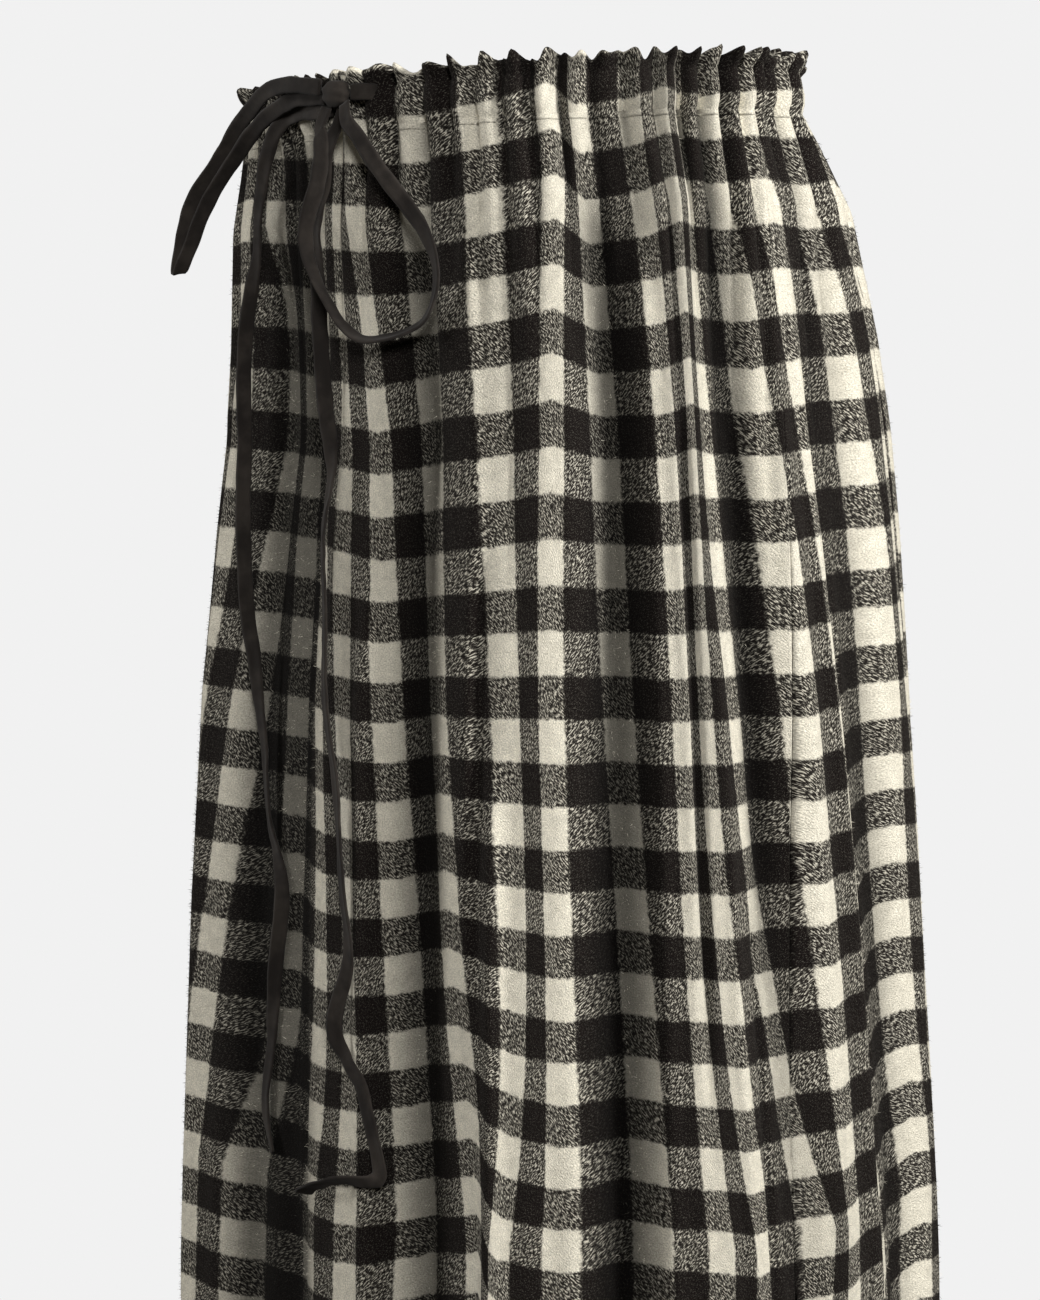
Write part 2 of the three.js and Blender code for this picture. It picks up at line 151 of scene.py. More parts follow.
# The folds' own uneven creases, seen in the photo and repeated on the hidden side: the angle at the top and
# foot, the heights where each starts and ends, how far it stands out, and its half width in degrees.
# angle at the top, angle at the foot, upper end, lower end, out, half width
CREASES = np.array([
    (-36, -39, -0.10, -0.70, 0.0030, 3.0),
    (-26, -19, -0.05, -0.86, -0.0070, 4.0),
    (-12, -6, -0.20, -0.60, 0.0025, 1.8),
    (1, 8, -0.12, -0.50, 0.0020, 1.6),
    (8, 15, -0.22, -0.86, 0.0040, 1.4),
    (15, 22, -0.04, -0.86, -0.0080, 3.2),
    (24, 29, -0.06, -0.70, 0.0045, 3.0),
    (29, 32, -0.05, -0.50, 0.0050, 2.6),
    (31, 33, -0.20, -0.44, -0.0040, 1.0),
    (35, 35.5, -0.30, -0.86, 0.0060, 1.5),
    (46, 48, -0.10, -0.80, 0.0020, 3.0),
    (51, 55, -0.03, -0.86, -0.0080, 3.4),
    (60, 64, -0.06, -0.86, 0.0050, 2.4),
    (66, 71, -0.14, -0.50, -0.0045, 1.0),
    (68, 78, -0.22, -0.84, 0.0035, 1.5),
    (72, 84, -0.36, -0.84, -0.0040, 1.3),
    (79, 88, -0.03, -0.45, -0.0060, 3.0),
    (87, 97, -0.06, -0.70, 0.0040, 2.2),
    (91, 103, -0.05, -0.84, 0.0045, 1.3),
    (97, 108, -0.10, -0.60, -0.0035, 1.8),
    (108, 118, -0.04, -0.50, -0.0040, 2.2),
    (121, 130, -0.06, -0.70, 0.0034, 2.0),
    (134, 143, -0.10, -0.66, -0.0050, 2.4),
    (147, 154, -0.05, -0.44, 0.0036, 1.8),
    (161, 168, -0.14, -0.80, -0.0045, 2.6),
    (176, 181, -0.05, -0.52, 0.0040, 2.0),
    (190, 195, -0.12, -0.84, -0.0050, 2.4),
    (204, 207, -0.06, -0.40, 0.0034, 1.8),
    (217, 219, -0.10, -0.72, -0.0048, 2.6),
    (231, 231, -0.05, -0.60, 0.0040, 1.8),
    (244, 243, -0.12, -0.84, -0.0042, 2.2),
    (258, 256, -0.05, -0.48, -0.0036, 1.8),
    (272, 269, -0.14, -0.82, 0.0042, 2.0),
    (289, 286, -0.06, -0.66, -0.0050, 2.6),
    (303, 300, -0.10, -0.44, 0.0034, 1.8),
])

CREASE_STARTS_OVER = 0.05
CREASE_ENDS_OVER = 0.12

# Where the check's light bands fall round the skirt: the number of the band, and its angle at five heights.
BAND_HEIGHTS = np.array([-0.055, -0.133, -0.217, -0.340, -0.495])
BANDS = np.array([
    (-8, -36, -35, -36.5, -42, -48),
    (-7, -24, -24, -22.5, -29, -36),
    (-6, -13, -17.5, -14.5, -13, -18),
    (-5, -5, -6, -3, 3, 2),
    (-4, 0.5, 2.5, 5, 9.5, 12),
    (-3, 5.5, 9, 12.5, 16, 20),
    (-2, 16.5, 17, 19.5, 25, 32),
    (-1, 32, 32.5, 36, 38, 38),
    (0, 45, 44, 43, 44.5, 45.5),
    (1, 50.5, 51, 53, 56, 60),
    (2, 62, 64, 65.5, 67, 70.5),
    (3, 68, 69, 69.2, 71, 77),
    (4, 71.5, 72, 73, 79.5, 91),
    (5, 80.5, 85, 89.5, 93, 97),
    (6, 90.5, 94, 97, 100, 104),
    (7, 105.5, 111, 114, 116, 119.5),
    (8, 117, 121, 124, 126, 130),
    (12, 157, 160, 163, 165, 168),
    (16, 199, 201, 203, 204, 206),
    (20, 242, 243, 245, 246, 247),
    (24, 283, 284, 284, 284, 283),
    (27, 313, 314, 313, 309, 303),
])
BANDS_ROUND = 36
# The same down the length: the number of the light row, and its height.
LEVELS = np.array([
    (-0.3, 0.043),
    (1, -0.011),
    (2, -0.052),
    (3, -0.092),
    (4, -0.133),
    (5, -0.175),
    (6, -0.217),
    (7, -0.258),
    (8, -0.298),
    (9, -0.338),
    (10, -0.377),
    (11, -0.416),
    (12, -0.455),
    (14, -0.532),
    (22.8, -0.869),
])
# The gathers pull the cloth up and down unevenly: the band's number, and by how much its rows are moved up
# at six heights.
PULL_HEIGHTS = np.array([0.0, -0.05, -0.14, -0.22, -0.34, -0.54])
PULLS = np.array([
    (-8, 0, 0, -0.004, 0, 0, 0),
    (-6, -0.004, -0.004, -0.008, -0.003, 0, 0.003),
    (-4, -0.010, -0.008, -0.012, -0.008, -0.002, 0.010),
    (-3, -0.010, -0.009, -0.015, -0.012, -0.003, 0.015),
    (-2, -0.010, -0.012, -0.009, -0.009, 0.004, 0.027),
    (-1, -0.008, -0.006, -0.006, -0.003, 0.002, 0.006),
    (0, 0, 0, 0, 0, 0, 0),
    (1, -0.010, -0.012, -0.009, -0.003, 0, 0.002),
    (2, -0.008, -0.009, -0.008, -0.003, 0, 0),
    (3, -0.004, -0.003, -0.003, 0, 0, -0.003),
    (4, -0.006, -0.004, -0.006, -0.002, 0, -0.004),
    (5, -0.008, -0.006, -0.009, -0.003, 0, 0),
    (6, -0.006, -0.004, -0.005, 0, 0.006, 0.012),
    (7, -0.004, -0.006, -0.003, 0, 0.017, 0.027),
    (9, 0, 0, 0.003, 0.006, 0.010, 0.014),
    (12, -0.006, -0.006, -0.004, 0, 0, 0),
    (15, 0.004, 0.004, 0, -0.004, -0.006, -0.006),
    (19, -0.006, -0.008, -0.006, -0.004, 0, 0.004),
    (23, 0.002, 0.002, 0.004, 0.006, 0.006, 0.008),
    (26, -0.006, -0.006, -0.004, 0, 0, 0),
])


def between(height, table, column):
    """One column of a table at these heights. The table's first column is the height, from the top down."""
    return np.interp(height, table[::-1, 0], table[::-1, column])


def eased(share):
    share = np.clip(share, 0.0, 1.0)
    return share * share * (3.0 - 2.0 * share)


def settled_at(height):
    """How far the folds have drifted from their places at the top to those at the foot: 0 to 1."""
    return np.clip((FOLDS_START - height) / FOLDS_SETTLE, 0.0, 1.0)


def degrees_from(angle, middle):
    """How far round an angle is from a middle, between -180 and 180 degrees."""
    return np.mod(angle - middle + 180, 360) - 180


def fold_shape(angle, height):
    """How far out the large folds stand: about 1 on a ridge and -1 in a valley."""
    settled = settled_at(height)
    turns = [top * (1 - settled) + foot * settled for top, foot, _, _ in FOLDS]
    outs = [top * (1 - settled) + foot * settled for _, _, top, foot in FOLDS]
    turns.append(turns[0] + 360.0)
    outs.append(outs[0])
    here = turns[0] + np.mod(angle - turns[0], 360.0)
    shape = np.zeros_like(here)
    for k in range(len(FOLDS)):
        inside = (here >= turns[k]) & (here < turns[k + 1])
        share = np.clip((here - turns[k]) / (turns[k + 1] - turns[k]), 0.0, 1.0)
        ease = (1 - np.cos(np.pi * share)) / 2
        shape = np.where(inside, outs[k] + (outs[k + 1] - outs[k]) * ease, shape)
    return shape


def crease_shape(angle, height):
    """The small creases, each fading in and out along its length, in metres."""
    settled = settled_at(height)
    total = np.zeros_like(angle)
    for top, foot, upper, lower, out, wide in CREASES:
        off = degrees_from(angle, top * (1 - settled) + foot * settled)
        ends = eased((upper - height) / CREASE_STARTS_OVER) * eased((height - lower) / CREASE_ENDS_OVER)
        total += out * ends * np.exp(-((off / wide) ** 2))
    return total


def body_point(angle, height, out):
    """A point of the plain body, moved out along the section's normal."""
    a = np.radians(angle)
    side = between(height, SECTIONS, SIDE)
    front, back = between(height, SECTIONS, FRONT), between(height, SECTIONS, BACK)
    depth = np.where(np.cos(a) > 0, front, back)
    normal_x, normal_y = depth * np.sin(a), -side * np.cos(a)
    long = np.hypot(normal_x, normal_y)
    backward = (1 - np.cos(a)) / 2
    lift = WAIST_LIFT * backward * np.clip(1 - height / LIFT_FADES_AT, 0.0, 1.0)
    x = side * np.sin(a) + normal_x / long * out
    y = -depth * np.cos(a) + normal_y / long * out
    return np.stack([x, y, height + lift], -1)


# Where the fold is felt under the cord, in degrees from its middle, and how far out the gathers' tops are, in
# gather sizes.
CORD_FEELS = (-3, -1.5, 0, 1.5, 3)
GATHER_TOPS = 1.35


def cord_rest(angle, height):
    """How far out the cord lies: over the tops of the gathers and clear of the fold at both of its edges."""
    beside = [fold_shape(angle + step, height) for step in CORD_FEELS]
    folds = np.max(beside, axis=0) * between(height, FOLD_SIZE, SIZE)
    return folds + GATHER_TOPS * between(height, GATHER_SIZE, SIZE)


# The flat cord's width and thickness, its thickness in the solids, and the least it stands off the cloth.
CORD_WIDTH = 0.0085
CORD_THICK = 0.0014
SOLID_THICK = 0.0018
LOWEST_STAND = 0.0002
# The cord's routes, the same as in the solids.
# angle, height, how far the middle is off the cloth, twist
LEFT_LOOP = np.array([
    (0.7, 0.005, 0.0064, 0),
    (-4, 0.007, 0.0075, 0),
    (-9, 0.0085, 0.0085, 0),
    (-16, 0.0075, 0.0085, 20),
    (-22, 0.0015, 0.008, 40),
    (-28, -0.007, 0.008, 60),
    (-32, -0.017, 0.009, 70),
    (-34, -0.028, 0.0135, 75),
    (-36, -0.036, 0.017, 80),
    (-37, -0.046, 0.02, 80),
    (-37, -0.056, 0.0215, 80),
    (-37, -0.066, 0.023, 80),
    (-36.8, -0.076, 0.025, 80),
    (-36, -0.079, 0.0255, 80),
    (-35.2, -0.075, 0.0245, 80),
    (-34.7, -0.062, 0.0195, 80),
    (-34.3, -0.05, 0.016, 84),
    (-33.5, -0.039, 0.0125, 90),
    (-31, -0.029, 0.0095, 100),
    (-28, -0.021, 0.0075, 110),
    (-24, -0.012, 0.006, 125),
    (-19, -0.005, 0.006, 140),
    (-13, 0, 0.0055, 160),
    (-8, 0.0018, 0.0044, 180),
    (-4, 0.0015, 0.0038, 180),
    (0.5, 0.001, 0.0034, 180),
])
RIGHT_LOOP = np.array([
    (6, -0.0036, 0.0056, 0),
    (7.6, -0.012, 0.0075, 5),
    (10.5, -0.02, 0.009, 10),
    (13, -0.03, 0.01, 15),
    (16.5, -0.045, 0.0095, 15),
    (19.5, -0.057, 0.009, 5),
    (22.5, -0.069, 0.0085, -15),
    (24, -0.082, 0.008, -35),
    (23.5, -0.093, 0.008, -40),
    (21.5, -0.103, 0.008, -45),
    (18, -0.11, 0.008, -55),
    (14, -0.114, 0.008, -60),
    (10.5, -0.114, 0.008, -70),
    (7, -0.107, 0.008, -85),
    (4, -0.096, 0.008, -95),
    (1, -0.083, 0.008, -90),
    (-1, -0.068, 0.008, -75),
    (0, -0.054, 0.008, -60),
    (1.5, -0.042, 0.0075, -50),
    (2, -0.03, 0.0075, -35),
    (1.5, -0.018, 0.007, -15),
    (0.9, -0.014, 0.007, 0),
    (1.6, -0.0046, 0.0054, 0),
])
LEFT_TAIL = np.array([
    (1.2, -0.0046, 0.001, 0),
    (-4, -0.005, 0.0006, 0),
    (-9, -0.004, 0.0004, 0),
    (-14, -0.005, 0.0008, 15),
    (-18, -0.011, 0.002, 35),
    (-22, -0.026, 0.003, 40),
    (-25, -0.045, 0.003, 20),
    (-26, -0.06, 0.003, 12),
    (-26.5, -0.074, 0.003, 20),
    (-27.5, -0.088, 0.003, 50),
    (-29, -0.105, 0.003, 60),
    (-30, -0.132, 0.003, 60),
    (-29, -0.182, 0.003, 60),
    (-27, -0.222, 0.003, 60),
    (-25, -0.253, 0.003, 55),
    (-23, -0.274, 0.003, 40),
    (-20.5, -0.318, 0.003, 0),
    (-18, -0.356, 0.003, -10),
    (-13.5, -0.387, 0.004, 45),
    (-14.5, -0.422, 0.003, 50),
    (-15.5, -0.462, 0.003, 10),
    (-16.5, -0.494, 0.003, 0),
    (-14, -0.517, 0.003, -20),
])
RIGHT_TAIL = np.array([
    (4.2, -0.0064, 0.002, 0),
    (3, -0.014, 0.0016, 0),
    (1, -0.026, 0.0025, 20),
    (0.5, -0.04, 0.0025, 10),
    (-1.5, -0.055, 0.0025, 0),
    (-2.5, -0.07, 0.0025, 0),
    (-1.5, -0.088, 0.0025, 30),
    (-1, -0.11, 0.003, 45),
    (0, -0.133, 0.003, 45),
    (1.5, -0.16, 0.003, 30),
    (2.5, -0.184, 0.003, -20),
    (2, -0.206, 0.003, -30),
    (4, -0.242, 0.003, -30),
    (5.5, -0.284, 0.003, -25),
    (8.5, -0.324, 0.003, -25),
    (10.5, -0.37, 0.003, -30),
    (12, -0.402, 0.003, -10),
    (10, -0.436, 0.003, 35),
    (12, -0.452, 0.003, 0),
    (14.5, -0.463, 0.003, 0),
    (16, -0.479, 0.003, 0),
    (17.5, -0.497, 0.003, 0),
    (17.5, -0.507, 0.0035, 20),
    (12.5, -0.509, 0.004, 50),
    (8, -0.514, 0.004, 60),
    (3, -0.522, 0.0035, 60),
])


def new_mesh(name, points, faces, smooth=True):
    mesh = bpy.data.meshes.new(name)
    mesh.from_pydata([tuple(p) for p in points], [], [tuple(f) for f in faces])
    mesh.update()
    if smooth:
        mesh.polygons.foreach_set("use_smooth", [True] * len(mesh.polygons))
    piece = bpy.data.objects.new(name, mesh)
    bpy.context.scene.collection.objects.link(piece)
    return piece


def smooth_route(route, steps):
    """Evenly numbered rows along a curve through the route's rows."""
    place = np.linspace(0, len(route) - 1, steps + 1)
    k = np.minimum(place.astype(int), len(route) - 2)
    s = (place - k)[:, None]
    a, b = route[np.maximum(k - 1, 0)], route[k]
    c, d = route[k + 1], route[np.minimum(k + 2, len(route) - 1)]
    bend = (2 * a - 5 * b + 4 * c - d) * s**2 + (3 * b - a - 3 * c + d) * s**3
    return (2 * b + (c - a) * s + bend) / 2


# How many waves crumple the cord, the range of their rates, starts and sizes, and what brings their sum to 1.
CRUMPLE_WAVES = 7
CRUMPLE_RATES = (90, 420)
CRUMPLE_STARTS = (0, 6.3)
CRUMPLE_SIZES = (0.4, 1.0)
CRUMPLE_SUM = 3.5
SECOND_PACE = 1.3
# The cord's section: points from edge to edge, how thin its middle is and how it thickens towards the sewn
# edges, where those start, and how thin the very edge is.
CORD_SPOTS = 9
CORD_MIDDLE_THIN = 0.75
CORD_THICKENS = 0.35
SEWN_EDGE = 0.95
VERY_EDGE = 0.99
VERY_EDGE_THIN = 0.25
# How the waves bend the section: hollow about this share of its half width, tilt it, and narrow it.
HOLLOW_ABOUT = 0.4
TILTS = 0.6
NARROWS = 0.07


def crumple_waves(line, seed):
    """Two uneven waves along the cord, each between about -1 and 1."""
    rng = np.random.default_rng(seed)
    far = np.concatenate([[0.0], np.cumsum(np.linalg.norm(np.diff(line, axis=0), axis=1))])
    ranges = (CRUMPLE_RATES, CRUMPLE_STARTS, CRUMPLE_SIZES)
    waves = [[rng.uniform(*ends) for ends in ranges] for _ in range(CRUMPLE_WAVES)]
    one = sum(size * np.sin(far * rate + start) for rate, start, size in waves)
    two = sum(size * np.cos(far * rate * SECOND_PACE + 2 * start) for rate, start, size in waves)
    return one / CRUMPLE_SUM, two / CRUMPLE_SUM


def flat_cord(name, route, steps, crumple, seed, lowest_stand=LOWEST_STAND):
    """A flat sewn tie along a route, slightly crumpled. Returns the piece and the line down its middle."""
    angle, height, stand, twist = smooth_route(route, steps).T
    twist = np.radians(twist)
    edge_room = np.abs(np.sin(twist)) * (CORD_WIDTH - SOLID_THICK) / 2
    out = cord_rest(angle, height) + np.maximum(stand, lowest_stand) + edge_room
    line = body_point(angle, height, out)
    along = np.gradient(line, axis=0)
    along /= np.linalg.norm(along, axis=1)[:, None]
    outward = body_point(angle, height, 0.001) - body_point(angle, height, 0.0)
    across = np.cross(along, outward)
    across /= np.linalg.norm(across, axis=1)[:, None]
    up = np.cross(across, along)
    turned = across * np.cos(twist)[:, None] + up * np.sin(twist)[:, None]
    lifted = up * np.cos(twist)[:, None] - across * np.sin(twist)[:, None]
    wave, wave_two = crumple_waves(line, seed)
    # The section goes from one edge to the other over the face, and back under it. Its edges are thinner.
    spots = np.linspace(-1, 1, CORD_SPOTS)
    ring = [(s, 1) for s in spots] + [(s, -1) for s in spots[::-1][1:-1]]
    points = []
    for side, face in ring:
        inner = CORD_MIDDLE_THIN + CORD_THICKENS * abs(side)
        thick = CORD_THICK / 2 * (1.0 if abs(side) > SEWN_EDGE else inner)
        level = face * thick * (VERY_EDGE_THIN if abs(side) > VERY_EDGE else 1.0)
        dish = crumple * (wave * (side**2 - HOLLOW_ABOUT) + wave_two * side * TILTS)
        half_width = (1 - NARROWS * (1 + wave_two)) * CORD_WIDTH / 2
        points.append(line + turned * (side * half_width)[:, None] + lifted * (level + dish)[:, None])
    count = len(ring)
    points = np.stack(points, 1).reshape(-1, 3)
    faces = []
    for k in range(steps):
        for s in range(count):
            a, b = k * count + s, k * count + (s + 1) % count
            faces.append((a, a + count, b + count, b))
    faces.append(tuple(range(count)))
    faces.append(tuple(steps * count + s for s in reversed(range(count))))
    return new_mesh(name, points, faces), line


def seat(piece, slot, *nodes):
    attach(piece, "root")
    if nodes:
        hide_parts(*nodes)
    return piece


# The drawstring's two loops and two free ends.
# name, route, steps along it, crumple, seed, node, far end
CORDS = (
    ("bow_loop_left", LEFT_LOOP, 120, 0.0005, 3, "drawstring_loop_left", "object"),
    ("bow_loop_right", RIGHT_LOOP, 120, 0.0006, 5, "drawstring_loop_right", "object"),
    ("tie_end_left", LEFT_TAIL, 260, 0.0008, 8, "drawstring_tail_left", "bare"),
    ("tie_end_right", RIGHT_TAIL, 280, 0.0008, 11, "drawstring_tail_right", "bare"),
)
cord_pieces = []
for name, route, steps, crumple, seed, node, far_end in CORDS:
    piece, line = flat_cord(name, route, steps, crumple, seed)
    seat(piece, "dark_cord", node)
    cord_pieces.append(piece)

# The stretch beside the knot that goes into the casing, and how far in it may lie.
# angle, height, how far the middle is off the cloth, twist
INTO_CASING = np.array([
    (6.6, 0.0016, 0.0030, 0),
    (8.2, 0.0016, 0.0024, 0),
    (9.8, 0.0014, 0.0008, 0),
    (10.8, 0.0012, -0.0020, 0),
])
INSIDE_CASING = -0.01
stub, _ = flat_cord("tie_into_casing", INTO_CASING, 12, 0.0002, 2, lowest_stand=INSIDE_CASING)
seat(stub, "dark_cord")
cord_pieces.append(stub)

KNOT_ANGLE = 3.6
KNOT_HEIGHT = 0.0015
KNOT_STAND = 0.0047
KNOT_WIDE, KNOT_DEEP, KNOT_TALL = 0.0078, 0.0045, 0.0063
KNOT_SQUARENESS = 0.8
# The grooves between its turns.
# depth, how many up it, how many across it, start
KNOT_GROOVES = ((0.06, 9.0, 2.2, 0), (0.03, -3, 5, 1))
KNOT_ROUND_STEPS = 40
KNOT_TALL_STEPS = 24


def knot_piece():
    """The knot: a squashed lump wound round with slanting turns of the tie. Its sizes are half sizes."""
    angle, height = np.array([KNOT_ANGLE]), np.array([KNOT_HEIGHT])
    centre = body_point(angle, height, cord_rest(angle, height) + KNOT_STAND)[0]
    cos, sin = math.cos(math.radians(KNOT_ANGLE)), math.sin(math.radians(KNOT_ANGLE))
    points, faces = [], []
    for j in range(KNOT_TALL_STEPS + 1):
        pitch = math.pi * (j / KNOT_TALL_STEPS - 0.5)
        for i in range(KNOT_ROUND_STEPS):
            turn = 2 * math.pi * i / KNOT_ROUND_STEPS
            ball = (math.cos(turn) * math.cos(pitch), math.sin(turn) * math.cos(pitch), math.sin(pitch))
            wide, deep, tall = (math.copysign(abs(v) ** KNOT_SQUARENESS, v) for v in ball)
            groove = sum(depth * math.sin(up * tall + over * wide + start)
                         for depth, up, over, start in KNOT_GROOVES)
            swell = 1 + groove * math.cos(pitch)
            x, y, z = KNOT_WIDE * wide * swell, KNOT_DEEP * deep * swell, KNOT_TALL * tall * swell
            points.append((centre[0] + x * cos - y * sin, centre[1] + x * sin + y * cos, centre[2] + z))
    for j in range(KNOT_TALL_STEPS):
        for i in range(KNOT_ROUND_STEPS):
            a = j * KNOT_ROUND_STEPS + i
            b = j * KNOT_ROUND_STEPS + (i + 1) % KNOT_ROUND_STEPS
            faces.append((a, b, b + KNOT_ROUND_STEPS, a + KNOT_ROUND_STEPS))
    return new_mesh("bow_knot", points, faces)


knot = seat(knot_piece(), "dark_cord", "drawstring_knot")
cord_pieces.append(knot)


def steady_curve(x, table_x, table_y):
    """A smooth curve through a table that never turns back between its rows."""
    step, rise = np.diff(table_x), np.diff(table_y)
    slope = rise / step
    tangent = np.empty_like(table_y)
    tangent[1:-1] = 2 * slope[:-1] * slope[1:] / (slope[:-1] + slope[1:])
    tangent[0], tangent[-1] = slope[0], slope[-1]
    k = np.clip(np.searchsorted(table_x, x) - 1, 0, len(step) - 1)
    s = (x - table_x[k]) / step[k]
    a = (1 + 2 * s) * (1 - s) ** 2 * table_y[k] + s * (1 - s) ** 2 * step[k] * tangent[k]
    b = s * s * (3 - 2 * s) * table_y[k + 1] + s * s * (s - 1) * step[k] * tangent[k + 1]
    return a + b


# A cubic curve through each band's five angles, and the heights that it holds for.
CUBIC = 3
BAND_CURVES = np.polyfit(BAND_HEIGHTS, BANDS[:, 1:].T, CUBIC)
BANDS_TURN_FROM = -0.04
BANDS_TURN_TO = -0.53


def bands_at(height):
    """The numbers and angles of the check's bands at one height, with a few added past the turn's ends."""
    held = min(max(height, BANDS_TURN_TO), BANDS_TURN_FROM)
    angles = sum(part * held ** (CUBIC - k) for k, part in enumerate(BAND_CURVES))
    number = np.concatenate([BANDS[-3:, 0] - BANDS_ROUND, BANDS[:, 0], BANDS[:3, 0] + BANDS_ROUND])
    angles = np.concatenate([angles[-3:] - 360, angles, angles[:3] + 360])
    return number, angles


def level_at(bands, height):
    """Where along its length the cloth is, counted in repeats of the check, for these bands at one height."""
    pull = [np.interp(-height, -PULL_HEIGHTS, row) for row in PULLS[:, 1:]]
    number = np.concatenate([PULLS[-1:, 0] - BANDS_ROUND, PULLS[:, 0], PULLS[:1, 0] + BANDS_ROUND])
    pull = np.concatenate([pull[-1:], pull, pull[:1]])
    unpulled = height - np.interp(bands, number, pull)
    return np.interp(-unpulled, -LEVELS[:, 1], LEVELS[:, 0])


WRINKLES = 26
WRINKLE_SEED = 21
WRINKLE_SIZE = 0.00042
# Their ranges: how many go round, how they lean, where they start, their rate down the cloth, and their sizes.
# The more of them go round, the smaller they are.
WRINKLE_COUNTS = (14, 70)
WRINKLE_LEANS = (-9, 9)
WRINKLE_STARTS = (0, 6.3)
WRINKLE_RATES = (4, 16)
WRINKLE_SIZES = (0.4, 1.0)
FEW_ARE_LARGER = 22


def wrinkles(angle, height):
    """Faint uneven waves of the cloth, mostly running down its length, in metres."""
    rng = np.random.default_rng(WRINKLE_SEED)
    a = np.radians(angle)
    total = np.zeros_like(angle)
    for _ in range(WRINKLES):
        count = rng.integers(*WRINKLE_COUNTS)
        lean = rng.uniform(*WRINKLE_LEANS)
        start = rng.uniform(*WRINKLE_STARTS)
        rate = rng.uniform(*WRINKLE_RATES)
        size = rng.uniform(*WRINKLE_SIZES) * FEW_ARE_LARGER / (count + WRINKLE_COUNTS[0])
        total += size * np.sin(count * a + lean * height + start) * np.sin(rate * height + 2 * start)
    return WRINKLE_SIZE * total


# The gathers: how many go round, how far they stand out, how pointed their pinches are, and their middle.
GATHERS = 64
GATHER_OUT = 0.0040
PINCH_POWER = 0.8
PINCH_MIDDLE = 1.25
# They die away down the cloth over about this reach, which differs from one to the next, and are gone from the
# height on, over a length.
GATHER_REACH = 0.075
REACH_DIFFERS = 0.035
GATHERS_GONE_FROM = -0.16
GATHERS_GONE_OVER = 0.12
# Beside the bow they are calmer: the angle of the middle, the half width in degrees, and by what share.
CALM_ANGLE = -12
CALM_WIDE = 28
CALM_SHARE = 0.45
# Waves round the skirt that make them uneven, in their reach, their pace and their size.
# size, how many go round, start
UNEVEN_REACH = ((0.025, 9, 2.0),)
UNEVEN_PACE = ((1.5, 3, 1.0), (1.1, 7, 2.0))
UNEVEN_SIZE = ((0.25, 5, 0.6), (0.20, 11, 0.0), (0.15, 17, 1.0))


def waves(a, rows):
    """The sum of a table's sine waves at these angles, in radians."""
    return sum(size * np.sin(count * a + start) for size, count, start in rows)


def fine_gathers(angle, height):
    """Sharper and more uneven gathers than the solids', which die away at different depths, in metres."""
    a = np.radians(angle)
    phase = GATHERS * a + waves(a, UNEVEN_PACE)
    pinch = np.abs(np.cos(phase / 2)) ** PINCH_POWER * 2 - PINCH_MIDDLE
    reach = GATHER_REACH + REACH_DIFFERS * np.sin(phase / 3.0 + 1.0) + waves(a, UNEVEN_REACH)
    fade = np.exp(-np.clip(FOLDS_START - height, 0, None) / reach)
    fade *= 1 - eased((GATHERS_GONE_FROM - height) / GATHERS_GONE_OVER)
    from_bow = degrees_from(angle, CALM_ANGLE) / CALM_WIDE
    calm = 1 - CALM_SHARE * np.exp(-from_bow * from_bow)
    return GATHER_OUT * pinch * fade * calm * (1 + waves(a, UNEVEN_SIZE))


# The valleys are narrower than the ridges, by a power of the fold's shape from its lowest to its highest.
VALLEY_SHARPNESS = 0.62
DEEPEST_VALLEY = 1.3
FOLD_RANGE = 2.3
NARROWED_MIDDLE = 1.12
DRESSED_OVER = 0.05


def cloth_surface(angle, height):
    """The cloth's outer face: the solids' folds with narrower valleys, sharper gathers and creases."""
    plain = fold_shape(angle, height)
    below = eased((FOLDS_START - height) / DRESSED_OVER)
    share = np.clip((plain + DEEPEST_VALLEY) / FOLD_RANGE, 0, 1)
    narrowed = 2 * share**VALLEY_SHARPNESS - NARROWED_MIDDLE
    folds = (plain * (1 - below) + narrowed * below) * between(height, FOLD_SIZE, SIZE)
    small = crease_shape(angle, height) + wrinkles(angle, height)
    return folds + fine_gathers(angle, height) + below * small


# How far below the ridges the painted shade starts, as a share of the fold, and room for the gathers.
PAINTED_SHADE_FROM = 0.35
GATHER_ROOM = 0.004


def painted_fold_shade(angle, height):
    """How much painted shade the cloth gets in the folds, from its depth: 0 on the ridges and 1 at the bottom
    of the valleys.
    """
    ridge = between(height, FOLD_SIZE, SIZE)
    down = ridge - cloth_surface(angle, height)
    return eased(down / (ridge + GATHER_ROOM) - PAINTED_SHADE_FROM)


PANEL_COLUMNS = 400
PANEL_ROWS = 112
ROWS_CROWD_UPWARD = 1.25
SEAM_GAP = 0.0003
CLOTH_THICK = 0.0012
PANEL_TOP = -0.0135


